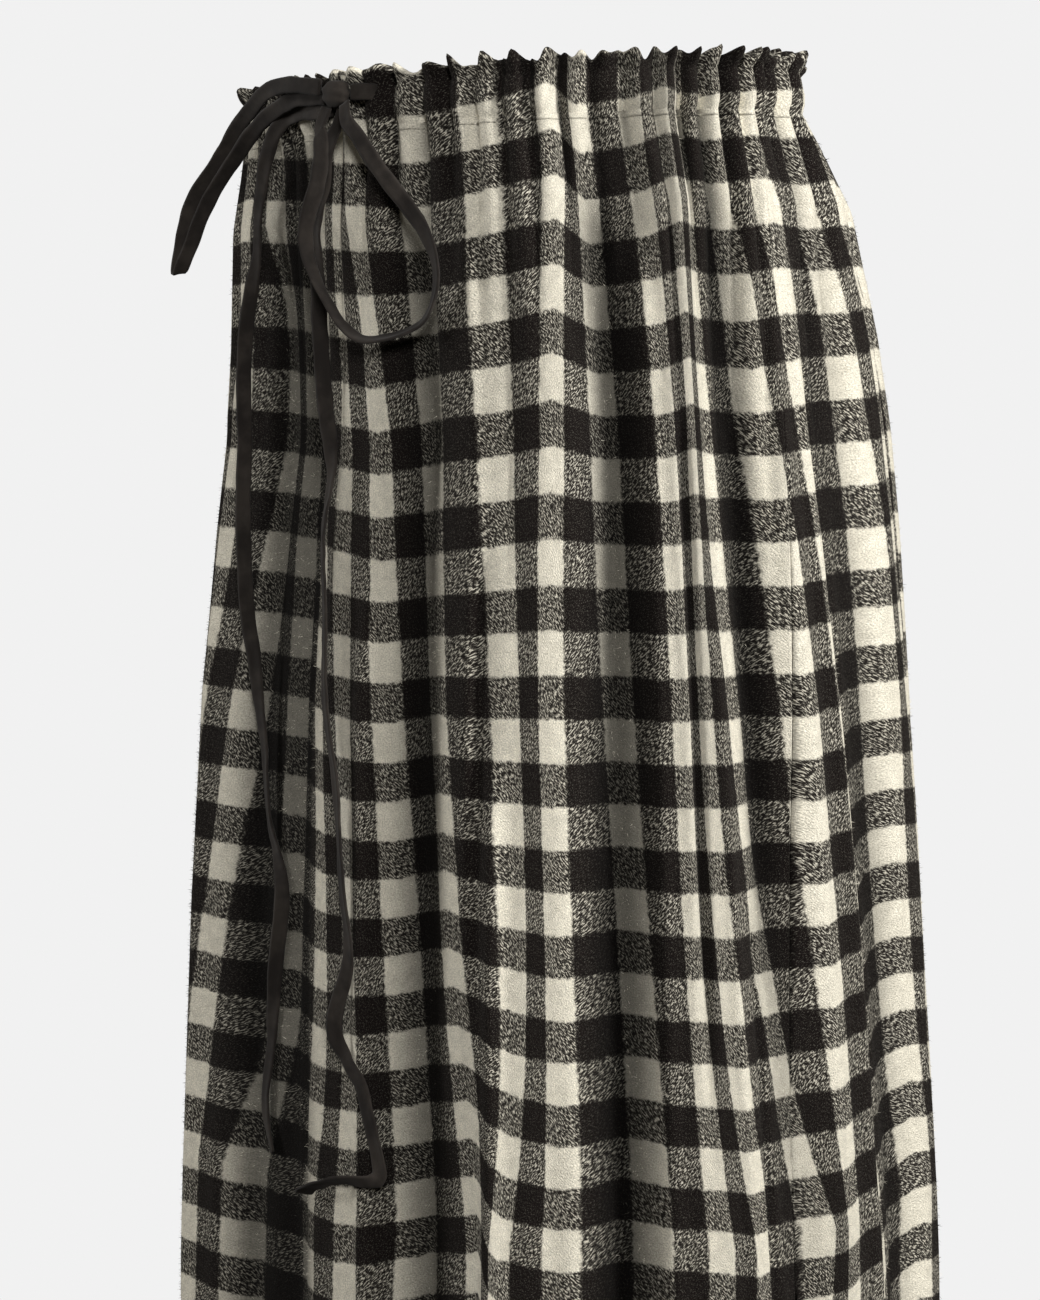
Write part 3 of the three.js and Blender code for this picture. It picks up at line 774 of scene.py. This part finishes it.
def panel_piece(name, first, last):
    """A panel between two side seams, with its columns following the check's bands down the cloth."""
    share = np.linspace(0, 1, PANEL_ROWS + 1) ** ROWS_CROWD_UPWARD
    heights = PANEL_TOP + (HEM - PANEL_TOP) * share
    points, weave, deep = [], [], []
    for height in heights:
        number, angles = bands_at(height)
        depth = (between(height, SECTIONS, FRONT) + between(height, SECTIONS, BACK)) / 2
        short = math.degrees(SEAM_GAP / 2 / depth)
        edges = np.interp([first + short, last - short], angles, number)
        bands = np.linspace(edges[0], edges[1], PANEL_COLUMNS + 1)
        angle = steady_curve(bands, number, angles)
        angle[0], angle[-1] = first + short, last - short
        flat = np.full_like(angle, height)
        points.append(body_point(angle, flat, cloth_surface(angle, flat)))
        deep.append(painted_fold_shade(angle, flat))
        weave.append(np.stack([bands, level_at(bands, height)], -1))
    points = np.stack(points).reshape(-1, 3)
    weave = np.stack(weave).reshape(-1, 2)
    wide = PANEL_COLUMNS + 1
    faces = []
    for r in range(PANEL_ROWS):
        for c in range(PANEL_COLUMNS):
            a = r * wide + c
            faces.append((a, a + wide, a + wide + 1, a + 1))
    piece = new_mesh(name, points, faces)
    add_weave(piece, weave)
    # Painted shade: how deep each point lies in the folds, kept on the cloth so that the material can darken
    # its colour there.
    shaded = piece.data.attributes.new("painted_fold_shade", "FLOAT", "POINT")
    shaded.data.foreach_set("value", np.concatenate(deep).astype(np.float32))
    thick = piece.modifiers.new("cloth", "SOLIDIFY")
    thick.thickness = CLOTH_THICK
    thick.offset = -1.0
    return piece


def add_weave(piece, weave):
    """Gives each point its place in the weave, in repeats of the check round and down."""
    layer = piece.data.uv_layers.new(name="weave")
    at = np.empty(len(piece.data.loops), np.int32)
    piece.data.loops.foreach_get("vertex_index", at)
    layer.data.foreach_set("uv", weave[at].astype(np.float32).ravel())


# The casing's section, from its lower edge up the face, over the ruffled heading and down the inside.
# height, how far out of the gathered line, how much of the gathers' size it takes
CASING_SECTION = np.array([
    (-0.0170, 0.0004, 1.00),
    (-0.0152, -0.0006, 1.00),
    (-0.0132, 0.0004, 1.05),
    (-0.0100, 0.0020, 1.05),
    (-0.0055, 0.0030, 1.00),
    (-0.0010, 0.0029, 0.95),
    (0.0028, 0.0016, 0.95),
    (0.0045, 0.0004, 1.00),
    (0.0065, 0.0010, 1.10),
    (0.0090, 0.0018, 1.25),
    (0.0110, 0.0017, 1.30),
    (0.0121, 0.0004, 1.30),
    (0.0118, -0.0012, 1.25),
    (0.0090, -0.0019, 1.15),
    (0.0045, -0.0017, 1.00),
    (-0.0010, -0.0028, 0.95),
    (-0.0070, -0.0028, 1.00),
    (-0.0130, -0.0017, 1.00),
    (-0.0165, -0.0012, 1.00),
])
CASING_COLUMNS = 1024
# Where the ruffled heading starts, how tall it is, where its edge turns over, and what tells its inner rows.
HEADING_FOOT = 0.004
HEADING_TALL = 0.008
HEADING_EDGE = 0.012
INNER_FROM = -0.0009
# The heading's waves up and down, and those in and out.
# size, how many go round, start
HEADING_UP = ((0.0012, 31, 1.0), (0.0009, 53, 2.1))
HEADING_OUT = ((0.0012, 23, 4.0),)
HEADING_UP_SHARE = 0.8
TEETH_OUT_SHARE = 1.1
# Its small teeth, which come at an uneven pace.
# size, how many go round, start, swing of the pace, how often it swings
TEETH = ((0.0016, 67, 0.0, 2.0, 5), (0.0013, 109, 2.1, 1.5, 9))


def casing_piece():
    """The channel for the cord and the ruffled heading over it, as one closed ring."""
    number, angles = bands_at(0.0)
    bands = np.linspace(BANDS[0, 0], BANDS[0, 0] + BANDS_ROUND, CASING_COLUMNS + 1)
    angle = steady_curve(bands, number, angles)
    a = np.radians(angle)
    teeth = sum(size * np.sin(count * a + start + swing * np.sin(often * a))
                for size, count, start, swing, often in TEETH)
    points, weave = [], []
    for height, out, gathered in CASING_SECTION:
        above = np.clip((height - HEADING_FOOT) / HEADING_TALL, 0, 1)
        rows = np.full_like(angle, height)
        folds = fold_shape(angle, rows) * between(height, FOLD_SIZE, SIZE)
        shift = above * (TEETH_OUT_SHARE * teeth + waves(a, HEADING_OUT))
        place = body_point(angle, rows, folds + gathered * fine_gathers(angle, rows) + out + shift)
        place[:, 2] += above * (waves(a, HEADING_UP) + teeth) * HEADING_UP_SHARE
        points.append(place[:-1])
        up_and_over = 2 * HEADING_EDGE - height if out < INNER_FROM else height
        weave.append(np.stack([bands, level_at(bands, up_and_over)], -1))
    rows, wide = len(CASING_SECTION), CASING_COLUMNS
    faces, corners = [], []
    for r in range(rows):
        for c in range(wide):
            after = (r + 1) % rows
            right = (c + 1) % wide
            faces.append((r * wide + c, r * wide + right, after * wide + right, after * wide + c))
            corners += [weave[r][c], weave[r][c + 1], weave[after][c + 1], weave[after][c]]
    piece = new_mesh("casing", np.concatenate(points), faces)
    layer = piece.data.uv_layers.new(name="weave")
    layer.data.foreach_set("uv", np.array(corners, np.float32).ravel())
    return piece


# The nap's fibres: their lengths, their width at the root, how deep the root sits in the cloth, how far off
# the cloth their lean is taken, and how much that lean varies.
NAP_SHORT = 0.0012
NAP_LONG = 0.0028
NAP_WIDTH = 0.00028
NAP_ROOT = 0.0002
NAP_OFF = 0.0008
NAP_LEAN = 0.0009


def nap_piece(name, spans, per_row, rows, seed):
    """Short loose fibres that stand off the brushed cloth, each a thin triangle in the colour at its root."""
    rng = np.random.default_rng(seed)
    first, last, low, high = spans
    points, weave = [], []
    for height in np.linspace(low, high, rows):
        number, angles = bands_at(height)
        angle = rng.uniform(first, last, per_row)
        nearby = height + rng.uniform(-0.5, 0.5, per_row) * (high - low) / rows
        out = cloth_surface(angle, nearby)
        root = body_point(angle, nearby, out - NAP_ROOT)
        lie = body_point(angle, nearby, out + NAP_OFF) - root
        lie += rng.normal(0, NAP_LEAN, root.shape)
        lie /= np.linalg.norm(lie, axis=1)[:, None]
        aside = np.cross(lie, rng.normal(0, 1, root.shape))
        aside /= np.linalg.norm(aside, axis=1)[:, None]
        half = aside * NAP_WIDTH / 2
        tip = root + lie * rng.uniform(NAP_SHORT, NAP_LONG, (per_row, 1))
        points.append(np.stack([root - half, root + half, tip], 1).reshape(-1, 3))
        bands = np.interp(angle, angles, number)
        at = np.stack([bands, level_at(bands, height)], -1)
        weave.append(np.repeat(at, 3, axis=0))
    points, weave = np.concatenate(points), np.concatenate(weave)
    faces = np.arange(len(points)).reshape(-1, 3)
    piece = new_mesh(name, points, faces, smooth=False)
    add_weave(piece, weave)
    return piece


front = seat(panel_piece("front_cloth", -90, 90), "checked_wool", "front_panel")
back = seat(panel_piece("back_cloth", 90, 270), "checked_wool", "back_panel")
casing = seat(casing_piece(), "checked_wool", "waist_casing")

# name, spans of angle and of height, fibres in a row, rows, seed
NAPS = (
    ("front_nap", (-90, 90, HEM, PANEL_TOP), 130, 420, 31),
    ("back_nap", (90, 270, HEM, PANEL_TOP), 130, 420, 32),
)
nap_pieces = [seat(nap_piece(*row), "checked_wool") for row in NAPS]


class Graph:
    """A short way to add nodes and link them."""

    def __init__(self, tree):
        self.tree = tree

    def add(self, kind, values=None, **settings):
        node = self.tree.nodes.new(kind)
        for key, value in settings.items():
            setattr(node, key, value)
        for key, value in (values or {}).items():
            socket = node.inputs[key]
            if isinstance(value, bpy.types.NodeSocket):
                self.tree.links.new(value, socket)
            else:
                socket.default_value = value
        return node

    def math(self, operation, *values):
        return self.add("ShaderNodeMath", dict(enumerate(values)), operation=operation).outputs[0]

    def remap(self, value, low, high, to_low=0.0, to_high=1.0, soft=True):
        kind = "SMOOTHSTEP" if soft else "LINEAR"
        values = {"Value": value, "From Min": low, "From Max": high, "To Min": to_low, "To Max": to_high}
        return self.add("ShaderNodeMapRange", values, interpolation_type=kind).outputs[0]

    def noise(self, vector, scale, detail=2.0, rough=0.5, dimensions="2D"):
        values = {"Vector": vector, "Scale": scale, "Detail": detail, "Roughness": rough}
        return self.add("ShaderNodeTexNoise", values, noise_dimensions=dimensions).outputs["Fac"]

    def scaled(self, vector, by):
        return self.add("ShaderNodeVectorMath", {0: vector, "Scale": by}, operation="SCALE").outputs[0]

    def mix(self, factor, a, b):
        node = self.add("ShaderNodeMix", data_type="RGBA")
        for key, value in (("Factor_Float", factor), ("A_Color", a), ("B_Color", b)):
            socket = next(s for s in node.inputs if s.identifier == key)
            if isinstance(value, bpy.types.NodeSocket):
                self.tree.links.new(value, socket)
            else:
                socket.default_value = value
        return next(s for s in node.outputs if s.identifier == "Result_Color")


def group(name, inputs, outputs):
    """A shader node group with named inputs and outputs: (name, socket type, default)."""
    tree = bpy.data.node_groups.new(name, "ShaderNodeTree")
    for label, kind, value in inputs:
        socket = tree.interface.new_socket(name=label, in_out="INPUT", socket_type=kind)
        if value is not None:
            socket.default_value = value
    for label, kind in outputs:
        tree.interface.new_socket(name=label, in_out="OUTPUT", socket_type=kind)
    graph = Graph(tree)
    return graph, graph.add("NodeGroupInput"), graph.add("NodeGroupOutput")


# The check, in its repeats: how far from a light band's middle its soft edge starts and ends, round the skirt
# and down it, and how much the edges waver.
BAND_EDGE = (0.222, 0.262)
ROW_EDGE = (0.232, 0.270)
WAVER = {"Scale": 11.0, "Detail": 5.0, "Roughness": 0.8}
WAVER_SIZE = 0.11
# The slanting yarns where light and dark cross: their leans in degrees, how fine they are along and across,
# and how their noise becomes light: from, to, least, most.
YARN_LEANS = (-48, 44)
YARN_SCALE = (19.0, 66.0, 1.0)
YARN_NOISE = (1.0, 2.0, 0.55)
YARN_LIGHT = (0.48, 0.70, 0.01, 0.85)
# The noise of the fuzz, the patches and the light flecks: scale, detail, roughness. Then what it turns into.
FUZZ_NOISE = (55.0, 3.0, 0.65)
FUZZ_SHADE = (0.32, 0.68, 0.62, 1.14)
PATCH_NOISE = (6.0, 4.0, 0.7)
PATCH_SHADE = (0.3, 0.7, 0.86, 1.08)
FLECK_NOISE = (1.9, 2.0, 0.6)
FLECK_EDGE = (0.58, 0.74)
FLECK_SHARE = 0.13
# How much of the height comes from the yarns and from the fuzz.
YARN_RELIEF = 0.55
FUZZ_RELIEF = 0.6


def check_group():
    """Brushed check: light and dark bands both ways, and short slanting yarns where they cross."""
    graph, given, out = group(
        "wool_check",
        [("Weave", "NodeSocketVector", None), ("Light", "NodeSocketColor", (0.6, 0.6, 0.5, 1)),
         ("Dark", "NodeSocketColor", (0.03, 0.02, 0.02, 1))],
        [("Color", "NodeSocketColor"), ("Height", "NodeSocketFloat")],
    )
    weave = given.outputs["Weave"]
    waver = graph.add("ShaderNodeTexNoise", {"Vector": weave, **WAVER}, noise_dimensions="2D")
    centred = {0: waver.outputs["Color"], 1: (0.5, 0.5, 0.5)}
    moved = graph.add("ShaderNodeVectorMath", centred, operation="SUBTRACT").outputs[0]
    moved = graph.scaled(moved, WAVER_SIZE)
    place = graph.add("ShaderNodeVectorMath", {0: weave, 1: moved}, operation="ADD").outputs[0]
    split = graph.add("ShaderNodeSeparateXYZ", {0: place})
    across = graph.math("PINGPONG", split.outputs[0], 0.5)
    along = graph.math("PINGPONG", split.outputs[1], 0.5)
    light_across = graph.remap(across, *BAND_EDGE, 1.0, 0.0)
    light_along = graph.remap(along, *ROW_EDGE, 1.0, 0.0)

    yarns = []
    for lean in YARN_LEANS:
        slant = graph.add("ShaderNodeMapping", {"Vector": weave, "Rotation": (0, 0, math.radians(lean))})
        dashes = graph.add("ShaderNodeMapping", {"Vector": slant.outputs[0], "Scale": YARN_SCALE}).outputs[0]
        yarns.append(graph.noise(dashes, *YARN_NOISE))
    yarn = graph.add("ShaderNodeMix", {"Factor": light_across, "A": yarns[1], "B": yarns[0]}).outputs[0]
    dashes_light = graph.remap(yarn, *YARN_LIGHT)

    both = graph.math("MULTIPLY", light_across, light_along)
    either = graph.math("SUBTRACT", graph.math("MAXIMUM", light_across, light_along), both)
    lightness = graph.math("ADD", both, graph.math("MULTIPLY", either, dashes_light))
    woven = graph.mix(lightness, given.outputs["Dark"], given.outputs["Light"])

    fuzz = graph.noise(weave, *FUZZ_NOISE)
    shade = graph.remap(fuzz, *FUZZ_SHADE, soft=False)
    patches = graph.remap(graph.noise(weave, *PATCH_NOISE), *PATCH_SHADE, soft=False)
    shaded = graph.scaled(woven, graph.math("MULTIPLY", shade, patches))
    flecks = graph.remap(graph.noise(dashes, *FLECK_NOISE), *FLECK_EDGE)
    colour = graph.mix(graph.math("MULTIPLY", flecks, FLECK_SHARE), shaded, given.outputs["Light"])
    yarn_height = graph.math("MULTIPLY", yarn, YARN_RELIEF)
    height = graph.math("ADD", yarn_height, graph.math("MULTIPLY", fuzz, FUZZ_RELIEF))
    graph.tree.links.new(colour, out.inputs["Color"])
    graph.tree.links.new(height, out.inputs["Height"])
    return graph.tree


def new_material(name):
    """A material with its graph and its own Principled shader."""
    material = bpy.data.materials.new(name)
    material.use_nodes = True
    shader = next(n for n in material.node_tree.nodes if n.type == "BSDF_PRINCIPLED")
    return material, Graph(material.node_tree), shader


def finish_shader(graph, shader, colour, bump, finish):
    """Links a colour and a bump, and sets plain values on the shader's own sockets."""
    graph.tree.links.new(colour, shader.inputs["Base Color"])
    graph.tree.links.new(bump.outputs[0], shader.inputs["Normal"])
    for socket, value in finish.items():
        shader.inputs[socket].default_value = value


WOOL_LIGHT = (0.76, 0.72, 0.605, 1)
WOOL_DARK = (0.0082, 0.0060, 0.0054, 1)
WOOL_RELIEF = {"Strength": 1.0, "Distance": 0.0009}
# How much painted shade darkens the cloth's colour at the bottom of the folds.
VALLEY_PAINTED_SHADE = 0.78
WOOL_FINISH = {
    "Roughness": 0.95,
    "Specular IOR Level": 0.05,
    "Sheen Weight": 0.02,
    "Sheen Roughness": 0.6,
    "Sheen Tint": (0.9, 0.85, 0.78, 1),
}


def wool_material():
    """Brushed wool in a cream and brown-black check, with painted shade darkening its colour deep in the
    folds.
    """
    material, graph, shader = new_material("checked_wool")
    check = graph.add("ShaderNodeGroup", node_tree=check_group())
    weave = graph.add("ShaderNodeUVMap", uv_map="weave").outputs[0]
    graph.tree.links.new(weave, check.inputs["Weave"])
    check.inputs["Light"].default_value = WOOL_LIGHT
    check.inputs["Dark"].default_value = WOOL_DARK
    bump = graph.add("ShaderNodeBump", {"Height": check.outputs["Height"], **WOOL_RELIEF})
    # Painted shade: the check's colour is darkened by how deep the cloth lies in the folds.
    deep = graph.add("ShaderNodeAttribute", attribute_name="painted_fold_shade").outputs["Fac"]
    painted_shade = graph.math("MULTIPLY_ADD", deep, -VALLEY_PAINTED_SHADE, 1.0)
    finish_shader(graph, shader, graph.scaled(check.outputs["Color"], painted_shade), bump, WOOL_FINISH)
    return material


CORD_DARK = (0.016, 0.0135, 0.012, 1)
CORD_WORN = (0.033, 0.028, 0.024, 1)
# The noise of its weave and of its worn places: scale, detail, roughness.
CORD_WEAVE = (1600.0, 2.0, 0.6)
CORD_WEAR = (60.0, 3.0, 0.6)
CORD_WEAR_EDGE = (0.35, 0.7)
CORD_RELIEF = {"Strength": 0.5, "Distance": 0.0003}
CORD_FINISH = {"Roughness": 0.9, "Specular IOR Level": 0.1, "Sheen Weight": 0.05}


def cord_material():
    """Matte dark tie, with a fine weave and slightly worn places."""
    material, graph, shader = new_material("dark_cord")
    place = graph.add("ShaderNodeTexCoord").outputs["Object"]
    weave = graph.noise(place, *CORD_WEAVE, dimensions="3D")
    worn = graph.remap(graph.noise(place, *CORD_WEAR, dimensions="3D"), *CORD_WEAR_EDGE)
    bump = graph.add("ShaderNodeBump", {"Height": weave, **CORD_RELIEF})
    finish_shader(graph, shader, graph.mix(worn, CORD_DARK, CORD_WORN), bump, CORD_FINISH)
    return material


wool = wool_material()
tie = cord_material()
for piece in [front, back, casing] + nap_pieces:
    piece.data.materials.append(wool)
for piece in cord_pieces:
    piece.data.materials.append(tie)


# Soft lights round the skirt, placed from the camera: across the picture, towards the camera, and up.
# name, place, size, power, colour
LIGHTS = (
    ("key_light", (1.6, 1.1, 0.4), 0.4, 50.0, (1.0, 0.985, 0.96)),
    ("front_light", (0.1, 1.95, 0.5), 0.5, 25.0, (1.0, 0.99, 0.98)),
    ("side_light", (-1.95, -0.35, 0.1), 0.6, 20.0, (1.0, 0.99, 0.98)),
)
LIT_MIDDLE = Vector((0.0, 0.0, -0.35))

for name, (across, toward, height), size, power, colour in LIGHTS:
    lamp_data = bpy.data.lights.new(name, "AREA")
    lamp_data.shape = "DISK"
    lamp_data.size = size
    lamp_data.energy = power
    lamp_data.color = colour
    lamp = bpy.data.objects.new(name, lamp_data)
    bpy.context.scene.collection.objects.link(lamp)
    lamp_place = across_picture * across + toward_camera * toward + upward * height
    lamp.location = lamp_place
    lamp.rotation_euler = (LIT_MIDDLE - lamp_place).to_track_quat("-Z", "Y").to_euler()

# The background is seen pale, and lights the skirt only dimly, so that the folds stay dark.
BACKDROP = (0.88, 0.88, 0.88, 1)
DIM_LIGHT = {"Color": (1.0, 0.92, 0.8, 1), "Strength": 0.08}

world = bpy.data.worlds.new("studio")
world.use_nodes = True
studio = Graph(world.node_tree)
seen = world.node_tree.nodes["Background"]
seen.inputs["Color"].default_value = BACKDROP
dim = studio.add("ShaderNodeBackground", DIM_LIGHT)
looking = studio.add("ShaderNodeLightPath").outputs["Is Camera Ray"]
both = studio.add("ShaderNodeMixShader", {0: looking, 1: dim.outputs[0], 2: seen.outputs[0]})
studio.tree.links.new(both.outputs[0], world.node_tree.nodes["World Output"].inputs["Surface"])
bpy.context.scene.world = world
bpy.context.scene.view_settings.view_transform = "Standard"
